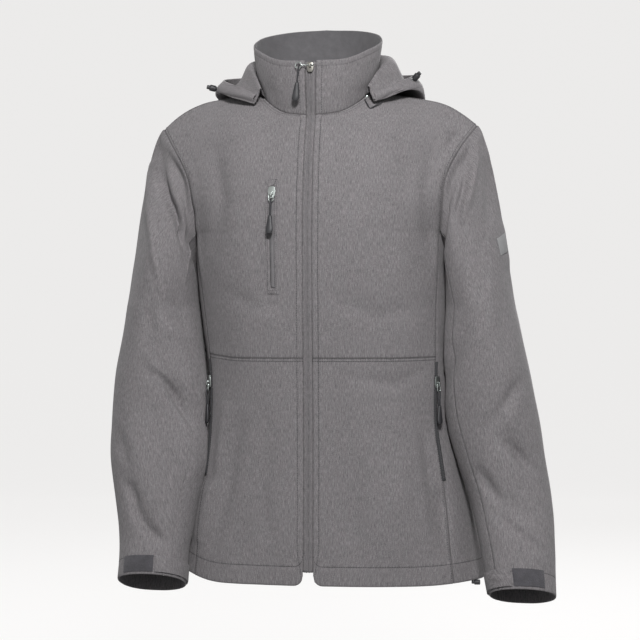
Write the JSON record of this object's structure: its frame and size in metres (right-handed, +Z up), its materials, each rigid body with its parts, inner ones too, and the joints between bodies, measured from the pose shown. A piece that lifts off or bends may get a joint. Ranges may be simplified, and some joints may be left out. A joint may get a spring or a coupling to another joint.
{
  "type": "softshell jacket",
  "caption": "Hooded softshell jacket, hollow and filled out as worn, zip front, stand collar, hood folded down, zipped pockets, cuff tabs",
  "frame": {"origin": "middle of the neck opening at the height of the shoulder line, where a wearer's shoulders carry the jacket", "axes": "+Z up, -Y the jacket's front, +X the wearer's left"},
  "size_m": [0.637, 0.3036, 0.8247],
  "materials": {
    "softshell": "matte heather grey woven softshell",
    "collar_facing": "smooth dark grey knit",
    "zip_tape": "woven tape and moulded coil",
    "loop_tape": "fine loop pile",
    "zip_metal": "satin plated zinc",
    "dark_rubber": "matte moulded rubber",
    "cord": "braided cord",
    "woven_tab": "plain woven tab"
  },
  "bodies": {
    "root": {"front_lower_right": "softshell", "front_upper_right": "softshell", "side_panel_right": "softshell", "sleeve_top_right": "softshell", "sleeve_under_right": "softshell", "front_lower_left": "softshell", "front_upper_left": "softshell", "side_panel_left": "softshell", "sleeve_top_left": "softshell", "sleeve_under_left": "softshell", "back": "softshell", "collar_outer": "softshell", "collar_facing": "collar_facing", "hood_side_left": "softshell", "hood_side_right": "softshell", "hood_centre": "softshell", "welt_chest": "softshell", "zip_chest": "zip_tape", "zip_main": "zip_tape", "zip_pocket_right": "zip_tape", "zip_pocket_left": "zip_tape", "slider_main": "zip_metal", "slider_chest": "zip_metal", "slider_pocket_right": "zip_metal", "slider_pocket_left": "zip_metal", "cuff_patch_right": "loop_tape", "cuff_tab_right": "softshell", "cuff_patch_left": "loop_tape", "cuff_tab_left": "softshell", "eyelet_hood_right": "zip_metal", "cord_hood_right": "cord", "lock_hood_right": "dark_rubber", "eyelet_hood_left": "zip_metal", "cord_hood_left": "cord", "lock_hood_left": "dark_rubber", "sleeve_label": "woven_tab", "lock_hem_left": "dark_rubber"},
    "pull_main": {"link_main": "zip_metal", "cord_main": "cord", "grip_main": "dark_rubber"},
    "pull_chest": {"link_chest": "zip_metal", "cord_chest": "cord", "grip_chest": "dark_rubber"},
    "pull_pocket_right": {"link_pocket_right": "zip_metal", "cord_pocket_right": "cord", "grip_pocket_right": "dark_rubber"},
    "pull_pocket_left": {"link_pocket_left": "zip_metal", "cord_pocket_left": "cord", "grip_pocket_left": "dark_rubber"}
  },
  "joints": [
    {"name": "pull_main_swing", "type": "hinge", "parent": "root", "child": "pull_main", "pos_m": [0, -0.10122, 0.03611], "axis": [-1, 0, 0], "range_deg": [0, 140]},
    {"name": "pull_chest_swing", "type": "hinge", "parent": "root", "child": "pull_chest", "pos_m": [-0.05023, -0.12791, -0.14507], "axis": [-0.9906, 0.1365, -0.0071], "range_deg": [0, 140]},
    {"name": "pull_pocket_right_swing", "type": "hinge", "parent": "root", "child": "pull_pocket_right", "pos_m": [-0.15229, -0.06364, -0.40908], "axis": [-0.7071, 0.7071, 0], "range_deg": [0, 90]},
    {"name": "pull_pocket_left_swing", "type": "hinge", "parent": "root", "child": "pull_pocket_left", "pos_m": [0.17669, -0.06334, -0.40893], "axis": [-0.5473, -0.8355, 0.0493], "range_deg": [0, 90]}
  ]
}
